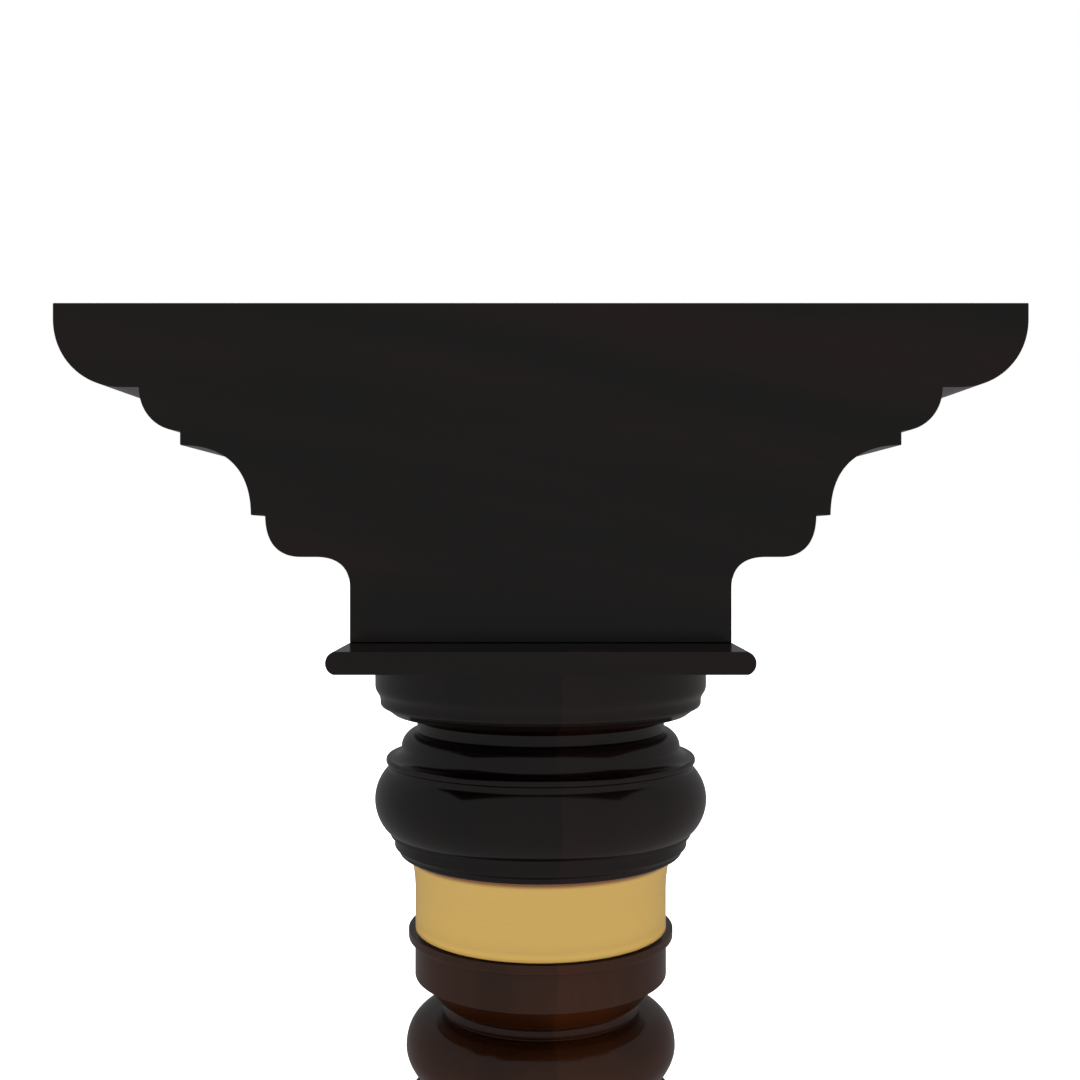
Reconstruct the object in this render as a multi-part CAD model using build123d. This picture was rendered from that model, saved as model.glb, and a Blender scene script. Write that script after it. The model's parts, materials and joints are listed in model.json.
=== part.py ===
from build123d import *
import os

# A bracket capital: a carved T-shaped bracket on the turned head of a wooden pillar.
# Millimetres, +Z up. The origin is the centre of the round foot, on its underside.
# X runs along the bracket, Y through its thickness.

# ---- bracket block: one plank, sawn to outline; widths are counted in from each end
bracket_length = 600.0
bracket_thickness = 112.5
end_lobe_width = 42.0
end_lobe_height = 42.0
end_face_height = 9.8
under_ledge = 10.8
second_lobe_width = 25.4
second_lobe_height = 26.8
fillet_height = 8.8
cove_width = 43.5
cove_height = 43.1
cove_step = 8.8
third_lobe_width = 22.0
third_lobe_height = 25.7
third_lobe_flat = 9.2
foot_cove_width = 20.9
foot_cove_height = 18.7
neck_height = 34.0

# ---- abacus plate: square board under the bracket, its two ends rounded
plate_thickness = 13.1
plate_depth = 243.8
plate_end_bulge = 4.5

# ---- necking disc
disc_radius = 108.0
disc_side_height = 17.1
disc_step_height = 10.4
disc_lower_radius = 104.6
disc_lower_height = 3.8
disc_edge_round = 2.6
soffit_outer_radius = 101.4
soffit_inner_radius = 96.0
soffit_rise = 4.0
soffit_quirk = 0.5
hollow_height = 5.6
necking_radius = 80.8
necking_height = 2.3
necking_flare_height = 3.4
necking_flare = 0.8

# ---- echinus ring
echinus_radius = 91.0
echinus_height = 10.7
echinus_band = 0.7
echinus_cove_width = 7.0
echinus_cove_height = 5.5
ring_radius = 100.9
ring_arris_inset = 1.0
ring_face_height = 2.0
ring_band = 0.4
ring_edge_round = 1.6

# ---- cushion
cushion_radius = 108.1
cushion_top_radius = 99.7
cushion_bottom_radius = 98.2
cushion_rise = 19.6
cushion_drop = 20.0
cushion_toe = 2.3
cushion_swell = 11.6
cushion_top_fillet = 3.6
cushion_foot_fillet = 2.7

# ---- lower ring
lower_ring_radius = 95.4
lower_ring_height = 6.5
lower_ring_step_height = 3.5
lower_ring_foot_radius = 92.5
lower_ring_foot_height = 0.5
lower_ring_round = 2.0

# ---- brass band
band_radius = 81.9
band_height = 49.3
band_wall = 2.0
band_flare = 5.7
band_flare_height = 26.3
band_fit = 0.1

# ---- collar: tenon, lip, drum and tapered neck, in one turning
lip_radius = 86.3
lip_edge_round = 0.4
lip_side_height = 4.6
lip_underside_rise = 1.9
drum_radius = 82.1
drum_height = 23.4
drum_underside_rise = 1.1
drum_edge_round = 0.4
taper_inset = 4.1
taper_width = 10.0
taper_height = 12.3
throat_radius = 61.8
throat_height = 6.0
throat_flare_height = 3.5
throat_flare = 2.2
throat_fullness = 0.4

# ---- bulb
bulb_radius = 87.8
bulb_top_radius = 61.0
bulb_upper_height = 23.4
bulb_upper_fullness = 0.64
bulb_lower_height = 23.3
bulb_lower_fullness = 0.45

# ---- foot collar
foot_radius = 86.3
foot_rim_height = 19.8
foot_round = 3.0
foot_cove_inset = 7.3
foot_cove_rise = 6.0
foot_neck_radius = 66.0
foot_neck_height = 3.5
socket_radius = 30.0

# ---- tie rod, nuts, washers and the plug that hides the upper nut
rod_radius = 8.0
rod_clearance = 0.5
nut_across_flats = 24.0
nut_height = 13.0
washer_radius = 20.0
washer_thickness = 3.0
washer_clearance = 2.0
rod_end = 3.0
plug_thickness = 10.0

# ---- plate screws, heads flush in the underside of the plate
screw_radius = 3.0
screw_head_radius = 6.0
screw_length = 58.0
screw_edge_x = 25.6
screw_edge_y = 22.0

# ---- dowels, a pair across each of four joints
dowel_radius = 5.0
dowel_depth = 10.0
dowel_circle_radius = 45.0
dowel_end_gap = 1.0

# ---- shape of a hand-cut quarter curve: 0.55 is an ellipse, larger is squarer
ROUND = 0.57
FULL = 0.65
SLACK = 0.50
EXACT = 0.5523

# ---- levels of the joints, from the foot up
foot_top = foot_rim_height + foot_cove_rise + foot_neck_height
bulb_top = foot_top + bulb_lower_height + bulb_upper_height
throat_top = throat_flare_height + throat_height
drum_bottom = throat_top + taper_height
drum_top = drum_bottom + drum_underside_rise + drum_height
collar_shoulder = drum_top + lip_underside_rise + lip_side_height + lip_edge_round
collar_top = collar_shoulder + band_height
band_bottom = bulb_top + collar_shoulder
ring_bottom = bulb_top + collar_top
lower_ring_top = lower_ring_round + lower_ring_foot_height + lower_ring_step_height + lower_ring_height
cushion_bottom = ring_bottom + lower_ring_top
cushion_top = cushion_foot_fillet + cushion_drop + cushion_rise + cushion_top_fillet
echinus_bottom = cushion_bottom + cushion_top
ring_arris = ring_edge_round + ring_band + ring_face_height
echinus_top = ring_arris + echinus_cove_height + echinus_band + echinus_height
disc_bottom = echinus_bottom + echinus_top
hollow_bottom = necking_flare_height + necking_height
soffit_bottom = hollow_bottom + hollow_height
disc_underside = soffit_bottom + soffit_rise + soffit_quirk
disc_step = disc_underside + disc_lower_height
disc_top = disc_step + disc_step_height + disc_side_height
plate_bottom = disc_bottom + disc_top
block_bottom = plate_bottom + plate_thickness
block_height = (neck_height + foot_cove_height + third_lobe_height + cove_height
                + fillet_height + second_lobe_height + end_lobe_height + end_face_height)
block_top = block_bottom + block_height

# ---- half widths of the bracket at each change of outline
cove_outer = (bracket_length / 2 - end_lobe_width - under_ledge - second_lobe_width)
cove_inner = cove_outer - cove_width
third_lobe_outer = cove_inner - cove_step
third_lobe_inner = third_lobe_outer - third_lobe_width
neck_half = third_lobe_inner - third_lobe_flat - foot_cove_width

# ---- the pockets for the nuts, and the rod that runs between them
pocket_radius = washer_radius + washer_clearance
nut_stack = washer_thickness + nut_height + rod_end
lower_pocket_depth = nut_stack + dowel_end_gap
upper_pocket_depth = nut_stack + dowel_end_gap + plug_thickness
lower_seat = foot_top + lower_pocket_depth
upper_seat = block_top - upper_pocket_depth
rod_hole_radius = rod_radius + rod_clearance
tenon_radius = band_radius - band_wall - band_fit


def quarter(start, end, leaves, fullness):
    """Quarter curve that leaves its start upright ("z") or level ("x") and ends square to that."""
    (x0, z0), (x1, z1) = start, end
    if leaves == "z":
        first = (x0, z0 + fullness * (z1 - z0))
        second = (x1 - fullness * (x1 - x0), z1)
    else:
        first = (x0 + fullness * (x1 - x0), z0)
        second = (x1, z1 - fullness * (z1 - z0))
    return Bezier(start, first, second, end)


def ogee(start, end):
    """S curve that is upright at both ends."""
    (x0, z0), (x1, z1) = start, end
    middle = (z0 + z1) / 2
    return Bezier(start, (x0, middle), (x1, middle), end)


def save(shape, node):
    """Writes one node's STEP file."""
    export_step(Compound(label=node, children=list(shape.solids())), f"parts/{node}.step")


def turned(edges, bottom, hole_radius):
    """Turning from an outline that runs upward from local z = 0, bored through on the axis."""
    ends = Wire(edges).vertices().sort_by(Axis.Y)
    low = ends[0]
    high = ends[-1]
    closing = Polyline((high.X, high.Y), (0, high.Y), (0, low.Y), (low.X, low.Y))
    face = Plane.XZ * make_face(edges + list(closing.edges()))
    body = revolve(face, Axis.Z)
    bore = Cylinder(hole_radius, high.Y - low.Y, align=(Align.CENTER, Align.CENTER, Align.MIN))
    return Pos(0, 0, bottom) * (body - bore)


def upright(radius, bottom, top):
    """Cylinder on the axis between two levels."""
    return Pos(0, 0, bottom) * Cylinder(radius, top - bottom, align=(Align.CENTER, Align.CENTER, Align.MIN))


def pin_pair(radius, bottom, top):
    """Two upright cylinders on the dowel circle, one each side of the axis."""
    pins = Part()
    for side in (-1, 1):
        pins += Pos(side * dowel_circle_radius, 0, 0) * upright(radius, bottom, top)
    return pins


def dowels(lower_joint, upper_joint):
    """Pair of dowels that reach from below one joint to above another, or across a single one."""
    return pin_pair(dowel_radius, lower_joint - dowel_depth, upper_joint + dowel_depth)


def dowel_holes(lower_joint, upper_joint):
    """Holes for one pair of dowels, a little deeper at each end for the glue."""
    reach = dowel_depth + dowel_end_gap
    return pin_pair(dowel_radius, lower_joint - reach, upper_joint + reach)


def screw_places():
    """Centres of the four plate screws, inside the bracket's neck and over the necking disc."""
    x = min(neck_half, disc_radius) - screw_edge_x
    y = bracket_thickness / 2 - screw_edge_y
    return [(x, y), (x, -y), (-x, y), (-x, -y)]


def screw_shapes():
    """Four countersunk screws, heads down, flush with the underside of the plate."""
    group = Part()
    head_height = screw_head_radius - screw_radius
    for x, y in screw_places():
        head = Cone(screw_head_radius, screw_radius, head_height,
                    align=(Align.CENTER, Align.CENTER, Align.MIN))
        group += Pos(x, y, plate_bottom) * head
        group += Pos(x, y, 0) * upright(screw_radius, plate_bottom + head_height,
                                        plate_bottom + screw_length)
    return group


def bracket_edges():
    """Right-hand half of the bracket's outline, from the foot of the neck up to the top corner."""
    points = [(neck_half, 0.0)]
    edges = []

    def straight(dx, dz):
        x, z = points[-1]
        points.append((x + dx, z + dz))
        edges.append(Line(points[-2], points[-1]))

    def curve(dx, dz, leaves, fullness):
        x, z = points[-1]
        points.append((x + dx, z + dz))
        edges.append(quarter(points[-2], points[-1], leaves, fullness))

    straight(0, neck_height)
    curve(foot_cove_width, foot_cove_height, "z", FULL)
    straight(third_lobe_flat, 0)
    curve(third_lobe_width, third_lobe_height, "x", FULL)
    straight(cove_step, 0)
    curve(cove_width, cove_height, "z", FULL)
    straight(0, fillet_height)
    curve(second_lobe_width, second_lobe_height, "x", ROUND)
    straight(under_ledge, 0)
    curve(end_lobe_width, end_lobe_height, "x", ROUND)
    straight(0, end_face_height)
    straight(-points[-1][0], 0)
    return edges


def make_bracket_block():
    """Carved bracket with the rod hole, the pocket for the upper nut and the screw holes."""
    half = bracket_edges()
    closing = Polyline((0, block_height), (0, 0), (neck_half, 0))
    face = make_face(half + list(closing.edges()))
    outline = Plane.XZ * (face + mirror(face, Plane.YZ))
    block = Pos(0, 0, block_bottom) * extrude(outline, bracket_thickness / 2, both=True)
    block -= upright(rod_hole_radius, block_bottom, block_top)
    block -= upright(pocket_radius, upper_seat, block_top)
    return block - screw_shapes()


def make_abacus_plate():
    """Square board whose two ends are rounded; front and back edges are square."""
    bulge = neck_half + plate_end_bulge
    middle = plate_thickness / 2
    edges = [Line((-neck_half, 0), (neck_half, 0)),
             ThreePointArc((neck_half, 0), (bulge, middle), (neck_half, plate_thickness)),
             Line((neck_half, plate_thickness), (-neck_half, plate_thickness)),
             ThreePointArc((-neck_half, plate_thickness), (-bulge, middle), (-neck_half, 0))]
    board = Pos(0, 0, plate_bottom) * extrude(Plane.XZ * make_face(edges), plate_depth / 2, both=True)
    board -= upright(rod_hole_radius, plate_bottom, block_bottom)
    board -= screw_shapes()
    return board - dowel_holes(plate_bottom, plate_bottom)


def make_necking_disc():
    """Disc under the plate: necking, hollow, sloping soffit, then two broad steps."""
    flare_radius = necking_radius + necking_flare
    soffit_foot = (soffit_inner_radius, soffit_bottom)
    soffit_head = (soffit_outer_radius, soffit_bottom + soffit_rise)
    disc_corner = (disc_lower_radius - disc_edge_round, disc_underside)
    disc_side = (disc_lower_radius, disc_underside + disc_edge_round)
    shoulder = disc_step + disc_step_height
    edges = [TangentArc((necking_radius, necking_flare_height), (flare_radius, 0), tangent=(0, -1)),
             Line((necking_radius, necking_flare_height), (necking_radius, hollow_bottom)),
             quarter((necking_radius, hollow_bottom), soffit_foot, "z", EXACT),
             Line(soffit_foot, soffit_head),
             Line(soffit_head, (soffit_outer_radius, disc_underside)),
             Line((soffit_outer_radius, disc_underside), disc_corner),
             quarter(disc_corner, disc_side, "x", EXACT),
             Line(disc_side, (disc_lower_radius, disc_step)),
             ogee((disc_lower_radius, disc_step), (disc_radius, shoulder)),
             Line((disc_radius, shoulder), (disc_radius, disc_top))]
    return turned(edges, disc_bottom, rod_hole_radius) - dowel_holes(plate_bottom, plate_bottom)


def make_echinus_ring():
    """Thin ring with a sharp upper edge, a cove, and the rounded echinus above it."""
    bottom = (ring_radius - ring_edge_round, 0)
    side = (ring_radius, ring_edge_round)
    band = (ring_radius, ring_edge_round + ring_band)
    arris = (ring_radius - ring_arris_inset, ring_arris)
    cove_foot = (echinus_radius + echinus_cove_width, ring_arris)
    cove_top = (echinus_radius, ring_arris + echinus_cove_height)
    belly = (echinus_radius, cove_top[1] + echinus_band)
    top = (necking_radius + necking_flare, echinus_top)
    edges = [quarter(bottom, side, "x", EXACT),
             Line(side, band),
             TangentArc(band, arris, tangent=(0, 1)),
             Line(arris, cove_foot),
             quarter(cove_foot, cove_top, "x", EXACT),
             Line(cove_top, belly),
             quarter(belly, top, "z", SLACK)]
    return turned(edges, echinus_bottom, rod_hole_radius) - dowel_holes(echinus_bottom, echinus_bottom)


def make_cushion():
    """Fat round moulding with a narrow fillet under it and one on top."""
    toe = (cushion_bottom_radius, cushion_foot_fillet)
    belly = (cushion_radius, cushion_foot_fillet + cushion_drop)
    head = (cushion_top_radius, belly[1] + cushion_rise)
    edges = [Line((cushion_bottom_radius, 0), toe),
             Bezier(toe, (toe[0] + cushion_toe, toe[1]), (belly[0], belly[1] - cushion_swell), belly),
             TangentArc(belly, head, tangent=(0, 1)),
             Line(head, (cushion_top_radius, cushion_top))]
    body = turned(edges, cushion_bottom, rod_hole_radius)
    return body - dowel_holes(echinus_bottom, echinus_bottom) - dowel_holes(ring_bottom, cushion_bottom)


def make_lower_ring():
    """Ring under the cushion, stepped in to a rounded lower edge that overhangs the band."""
    foot = (lower_ring_foot_radius, lower_ring_round)
    step = (lower_ring_foot_radius, lower_ring_round + lower_ring_foot_height)
    side = (lower_ring_radius, step[1] + lower_ring_step_height)
    edges = [quarter((lower_ring_foot_radius - lower_ring_round, 0), foot, "x", EXACT),
             Line(foot, step),
             ogee(step, side),
             Line(side, (lower_ring_radius, lower_ring_top))]
    return turned(edges, ring_bottom, rod_hole_radius) - dowel_holes(ring_bottom, cushion_bottom)


def make_brass_band():
    """Sleeve over the collar's tenon, flared a little where it meets the ring above."""
    straight_top = band_height - band_flare_height
    edges = [Line((band_radius, 0), (band_radius, straight_top)),
             quarter((band_radius, straight_top), (band_radius + band_flare, band_height), "z", EXACT)]
    return turned(edges, band_bottom, band_radius - band_wall)


def make_collar():
    """Tapered throat, drum and lip, with the tenon that carries the band."""
    waist = (throat_radius, throat_flare_height)
    taper_top = (drum_radius - taper_inset, drum_bottom)
    taper_foot = (drum_radius - taper_inset - taper_width, throat_top)
    rise = throat_fullness * throat_height
    lean = rise * taper_width / taper_height
    drum_corner = (drum_radius - drum_edge_round, drum_bottom + drum_underside_rise)
    drum_side = (drum_radius, drum_corner[1] + drum_edge_round)
    lip_side = (lip_radius, drum_top + lip_underside_rise)
    lip_high = (lip_radius, lip_side[1] + lip_side_height)
    lip_flat = (lip_radius - lip_edge_round, collar_shoulder)
    edges = [TangentArc(waist, (throat_radius + throat_flare, 0), tangent=(0, -1)),
             Bezier(waist, (throat_radius, waist[1] + rise),
                    (taper_foot[0] - lean, taper_foot[1] - rise), taper_foot),
             Line(taper_foot, taper_top),
             Line(taper_top, drum_corner),
             quarter(drum_corner, drum_side, "x", EXACT),
             Line(drum_side, (drum_radius, drum_top)),
             quarter((drum_radius, drum_top), lip_side, "x", EXACT),
             Line(lip_side, lip_high),
             quarter(lip_high, lip_flat, "z", EXACT),
             Line(lip_flat, (tenon_radius, collar_shoulder)),
             Line((tenon_radius, collar_shoulder), (tenon_radius, collar_top))]
    return turned(edges, bulb_top, rod_hole_radius) - dowel_holes(ring_bottom, cushion_bottom)


def make_bulb():
    """Flattened bulb; the lower nut sits in a pocket in its underside."""
    belly = (bulb_radius, bulb_lower_height)
    top = (bulb_top_radius, bulb_lower_height + bulb_upper_height)
    edges = [quarter((foot_neck_radius, 0), belly, "x", bulb_lower_fullness),
             quarter(belly, top, "z", bulb_upper_fullness)]
    body = turned(edges, foot_top, rod_hole_radius)
    body -= upright(pocket_radius, foot_top, lower_seat)
    return body - dowel_holes(foot_top, foot_top)


def make_foot_collar():
    """Lowest ring, bored right through as the socket for the pillar's tenon."""
    rim_top = foot_rim_height - foot_round
    cove_foot = (foot_radius - foot_round - foot_cove_inset, foot_rim_height)
    neck = (foot_neck_radius, foot_rim_height + foot_cove_rise)
    edges = [quarter((foot_radius - foot_round, 0), (foot_radius, foot_round), "x", EXACT),
             Line((foot_radius, foot_round), (foot_radius, rim_top)),
             quarter((foot_radius, rim_top), (foot_radius - foot_round, foot_rim_height), "z", EXACT),
             Line((foot_radius - foot_round, foot_rim_height), cove_foot),
             quarter(cove_foot, neck, "x", EXACT),
             Line(neck, (foot_neck_radius, foot_top))]
    return turned(edges, 0, socket_radius) - dowel_holes(foot_top, foot_top)


def make_nut(bottom):
    """Hexagon nut on the rod."""
    hexagon = RegularPolygon(nut_across_flats / 2, 6, major_radius=False)
    nut = Pos(0, 0, bottom) * extrude(hexagon, nut_height)
    return nut - upright(rod_radius, bottom, bottom + nut_height)


def make_washer(bottom):
    """Round washer under a nut."""
    washer = upright(washer_radius, bottom, bottom + washer_thickness)
    return washer - upright(rod_hole_radius, bottom, bottom + washer_thickness)


os.makedirs("parts", exist_ok=True)

upper_nut_bottom = upper_seat + washer_thickness
lower_nut_bottom = lower_seat - washer_thickness - nut_height

save(make_bracket_block(), "bracket_block")
save(upright(pocket_radius, block_top - plug_thickness, block_top), "top_plug")
save(make_abacus_plate(), "abacus_plate")
save(screw_shapes(), "abacus_screws")
save(make_necking_disc(), "necking_disc")
save(make_echinus_ring(), "echinus_ring")
save(make_cushion(), "cushion")
save(make_lower_ring(), "lower_ring")
save(make_brass_band(), "brass_band")
save(make_collar(), "drum_collar")
save(make_bulb(), "bulb")
save(make_foot_collar(), "foot_collar")
save(upright(rod_radius, lower_seat - nut_stack, upper_seat + nut_stack), "tie_rod")
save(make_nut(upper_nut_bottom), "upper_nut")
save(make_washer(upper_seat), "upper_washer")
save(make_nut(lower_nut_bottom), "lower_nut")
save(make_washer(lower_seat - washer_thickness), "lower_washer")
save(dowels(plate_bottom, plate_bottom), "plate_dowels")
save(dowels(echinus_bottom, echinus_bottom), "echinus_dowels")
save(dowels(ring_bottom, cushion_bottom), "collar_dowels")
save(dowels(foot_top, foot_top), "foot_dowels")

print("overall height", round(block_top, 2), "plate underside", round(plate_bottom, 2))
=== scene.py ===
# %% [markdown]
# # A bracket capital, in the round
#
# The piece is the head of a wooden pillar: a T-shaped bracket of ebonised wood on a thin square
# board, a stack of turned rings, a brass band, and a brown collar and bulb below it. The design
# model gives every part its place and size. This lesson gives each part the surface it has on the
# real thing: eased edges, glue lines, grain, polish and spun brass.

# %% Load the fixed frame
import json

import bmesh
import bpy
import numpy as np
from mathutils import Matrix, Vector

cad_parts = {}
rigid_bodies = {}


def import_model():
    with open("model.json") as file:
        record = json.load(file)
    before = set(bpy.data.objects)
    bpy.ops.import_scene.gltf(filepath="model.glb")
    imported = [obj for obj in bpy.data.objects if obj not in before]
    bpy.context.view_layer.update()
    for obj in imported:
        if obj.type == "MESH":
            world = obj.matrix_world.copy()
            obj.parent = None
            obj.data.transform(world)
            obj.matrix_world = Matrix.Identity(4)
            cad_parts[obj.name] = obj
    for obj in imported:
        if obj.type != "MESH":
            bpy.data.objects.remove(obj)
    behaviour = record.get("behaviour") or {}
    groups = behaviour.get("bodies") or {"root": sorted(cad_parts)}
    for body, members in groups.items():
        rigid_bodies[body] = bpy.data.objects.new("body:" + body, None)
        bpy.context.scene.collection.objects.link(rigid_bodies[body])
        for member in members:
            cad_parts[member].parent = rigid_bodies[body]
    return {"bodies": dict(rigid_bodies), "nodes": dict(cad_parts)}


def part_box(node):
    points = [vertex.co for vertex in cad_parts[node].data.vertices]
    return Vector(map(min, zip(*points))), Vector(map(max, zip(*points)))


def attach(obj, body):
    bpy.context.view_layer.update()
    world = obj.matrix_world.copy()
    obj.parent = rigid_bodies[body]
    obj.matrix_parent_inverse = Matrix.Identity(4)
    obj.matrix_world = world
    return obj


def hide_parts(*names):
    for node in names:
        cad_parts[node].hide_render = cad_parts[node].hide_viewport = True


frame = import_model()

MM = 0.001
body = next(iter(frame["bodies"]))
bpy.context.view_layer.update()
print("parts in the frame:", len(frame["nodes"]), "all riding on", body)


# %% [markdown]
# ## Where things are
#
# Nothing here is placed by eye. Each part's floor, top and reach are read from the frame, in
# millimetres, and every outline below starts from them.

# %% Read levels and reaches
def floor_of(part):
    """Lowest level of a part, in millimetres."""
    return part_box(part)[0].z / MM


def top_of(part):
    """Highest level of a part, in millimetres."""
    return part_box(part)[1].z / MM


def reach(part, axis=0):
    """How far a part reaches from the middle along X or Y, in millimetres."""
    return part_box(part)[1][axis] / MM


print("bracket from", round(floor_of("bracket_block"), 1), "to", round(top_of("bracket_block"), 1))


# %% [markdown]
# ## Curves a carver and a turner use
#
# Every moulding here is made of a few kinds of curve. They could be drawn by hand with the curve
# tool, but a formula is exact and can be changed later. Each function gives an array of points
# (across, up), in millimetres.
#
# A quarter curve is a cubic with a handle at each end. How long the handles are, as a share of the
# way to the corner, says how full the curve is: 0.5523 is an ellipse, less is leaner, more is fuller.

# %% Outline curves
ELLIPSE = 0.5523
ROUND = 0.57
FULL = 0.65
SLACK = 0.50
LEAN = 0.45


def line(*points):
    """Straight runs through the given points."""
    return np.array(points, float)


def bezier(a, b, c, d, steps=14):
    """Cubic curve: the four points weighted by (1-t)^3, 3t(1-t)^2, 3t^2(1-t) and t^3."""
    t = np.linspace(0, 1, steps)[:, None]
    a, b, c, d = (np.array(p, float) for p in (a, b, c, d))
    return a * (1 - t) ** 3 + b * 3 * t * (1 - t) ** 2 + c * 3 * t * t * (1 - t) + d * t ** 3


def quarter(start, end, leaves, fullness=ELLIPSE, steps=14):
    """Quarter curve that leaves its start upright ("z") or level ("x") and ends square to that."""
    (x0, z0), (x1, z1) = start, end
    if leaves == "z":
        first, second = (x0, z0 + fullness * (z1 - z0)), (x1 - fullness * (x1 - x0), z1)
    else:
        first, second = (x0 + fullness * (x1 - x0), z0), (x1, z1 - fullness * (z1 - z0))
    return bezier(start, first, second, end, steps)


def ogee(start, end, steps=12):
    """S curve that is upright at both ends."""
    middle = (start[1] + end[1]) / 2
    return bezier(start, (start[0], middle), (end[0], middle), end, steps)


def flare(upright_end, far_end, steps=8):
    """Circle arc that is upright where it starts: radius = (dx^2 + dz^2) / 2dx."""
    dx, dz = far_end[0] - upright_end[0], far_end[1] - upright_end[1]
    radius = (dx * dx + dz * dz) / (2 * dx)
    turn = np.linspace(0, np.arccos(1 - dx / radius), steps)
    across = upright_end[0] + radius * (1 - np.cos(turn))
    up = upright_end[1] + np.sign(dz) * abs(radius) * np.sin(turn)
    return np.stack([across, up], 1)


def arc_through(a, b, c, steps=40):
    """Circle arc through three points: the centre is as far from each, and the angle turns evenly."""
    a, b, c = (np.array(p, float) for p in (a, b, c))
    sides = 2 * np.array([b - a, c - a])
    centre = np.linalg.solve(sides, np.array([b @ b - a @ a, c @ c - a @ a]))
    angles = np.unwrap([np.arctan2(*(p - centre)[::-1]) for p in (a, b, c)])
    turn = np.linspace(angles[0], angles[2], steps)
    return centre + np.linalg.norm(a - centre) * np.stack([np.cos(turn), np.sin(turn)], 1)


print("a quarter curve has", len(quarter((0, 0), (10, 5), "z")), "points")


# %% [markdown]
# ## Eased edges
#
# No real edge is perfectly sharp: a pass of fine paper takes half a millimetre off it, and that
# small round is what catches the light. A Bevel modifier could do it, but here the outline itself
# is eased before it is turned or sawn, so the round has the same width all the way along. Each
# corner also gets a mark from 0 to 1 that says how much of an outside edge it is. The finishes
# below use that mark to rub the edges a little.

# %% Ease the corners of a closed outline
CORNER_STEPS = 5
MOST_CUT = 0.32     # of the shorter stretch at a corner, so that two eased corners never meet
NEAREST = 0.02      # mm between a cut and the next point kept


def trimmed(stretch, cut_start, cut_end):
    """A stretch of outline with a length cut from each end, measured along it."""
    along = np.r_[0, np.cumsum(np.linalg.norm(np.diff(stretch, axis=0), axis=1))]
    first, last = cut_start, along[-1] - cut_end
    keep = (along > first + NEAREST) & (along < last - NEAREST)
    stations = np.r_[first, along[keep], last]
    return np.stack([np.interp(stations, along, stretch[:, k]) for k in (0, 1)], 1)


def eased_loop(stretches, ease):
    """Closed outline: each corner is cut back and bridged by the parabola (1-t)^2, 2t(1-t), t^2.

    Returns the points, the edge mark at each and the slice that each stretch takes up."""
    lengths = np.array([np.linalg.norm(np.diff(s, axis=0), axis=1).sum() for s in stretches])
    cuts = np.minimum(ease, MOST_CUT * np.minimum(lengths, np.roll(lengths, -1)))
    points, marks, spans, count = [], [], [], 0
    t = np.linspace(0, 1, CORNER_STEPS + 2)[1:-1, None]
    for k, stretch in enumerate(stretches):
        body_points = trimmed(stretch, cuts[k - 1], cuts[k])
        following = trimmed(stretches[(k + 1) % len(stretches)], cuts[k], 0)[0]
        corner = stretch[-1]
        bridge = body_points[-1] * (1 - t) ** 2 + corner * 2 * t * (1 - t) + following * t * t
        before, after = corner - body_points[-1], following - corner
        turn = before[0] * after[1] - before[1] * after[0]
        turn /= np.linalg.norm(before) * np.linalg.norm(after) + 1e-9
        spans.append(slice(count, count + len(body_points)))
        count += len(body_points) + CORNER_STEPS
        points += [body_points, bridge]
        marks += [np.zeros(len(body_points)), np.full(CORNER_STEPS, np.clip(turn, 0, 1))]
    return np.concatenate(points), np.concatenate(marks), spans


corners = [(0, 0), (10, 0), (10, 10), (0, 10), (0, 0)]
square = [line(a, b) for a, b in zip(corners, corners[1:])]
print("an eased square has", len(eased_loop(square, 0.5)[0]), "points")


# %% [markdown]
# ## From grids to a solid
#
# A surface that is worked out from two numbers is a grid of points. `skin` takes one or more such
# grids, makes a face between each four neighbours, and welds the points that fall together, so
# that seams and poles close. Where an outline runs down the axis itself, its faces shrink to an
# edge that belongs to nothing, which is taken out. Then every face is turned outwards. The Weighted
# Normal modifier keeps big flat faces looking flat right up to their eased edges.

# %% Build a mesh from grids
def skin(name, grids, marks):
    """A closed mesh from grids of points (rows, columns, xyz), in millimetres, and their marks."""
    points, faces, count = [], [], 0
    for grid in grids:
        rows, columns = grid.shape[:2]
        index = np.arange(rows * columns).reshape(rows, columns) + count
        corners = index[:-1, :-1], index[1:, :-1], index[1:, 1:], index[:-1, 1:]
        faces.append(np.stack(corners, -1).reshape(-1, 4))
        points.append(grid.reshape(-1, 3))
        count += rows * columns
    mesh = bpy.data.meshes.new(name)
    mesh.from_pydata((np.concatenate(points) * MM).tolist(), [], np.concatenate(faces).tolist())
    worn = mesh.attributes.new("edge", "FLOAT", "POINT")
    worn.data.foreach_set("value", np.concatenate([m.ravel() for m in marks]).astype(np.float32))
    shell = bmesh.new()
    shell.from_mesh(mesh)
    bmesh.ops.remove_doubles(shell, verts=shell.verts, dist=1e-6)
    bmesh.ops.dissolve_degenerate(shell, edges=shell.edges, dist=1e-7)
    loose = [edge for edge in shell.edges if not edge.link_faces]
    bmesh.ops.delete(shell, geom=loose, context="EDGES")
    bmesh.ops.recalc_face_normals(shell, faces=shell.faces)
    open_edges = sum(1 for edge in shell.edges if len(edge.link_faces) != 2)
    shell.to_mesh(mesh)
    shell.free()
    mesh.shade_smooth()
    piece = bpy.data.objects.new(name, mesh)
    bpy.context.scene.collection.objects.link(piece)
    flat = piece.modifiers.new("keep flats flat", "WEIGHTED_NORMAL")
    flat.keep_sharp = False
    print(name, len(mesh.polygons), "faces,", open_edges, "open edges")
    return piece


def settle(piece, slot, *parts):
    """The piece rides on the body and stands for the given parts of the design, which are hidden;
    slot is not used.
    """
    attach(piece, body)
    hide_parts(*parts)
    return piece


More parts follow.
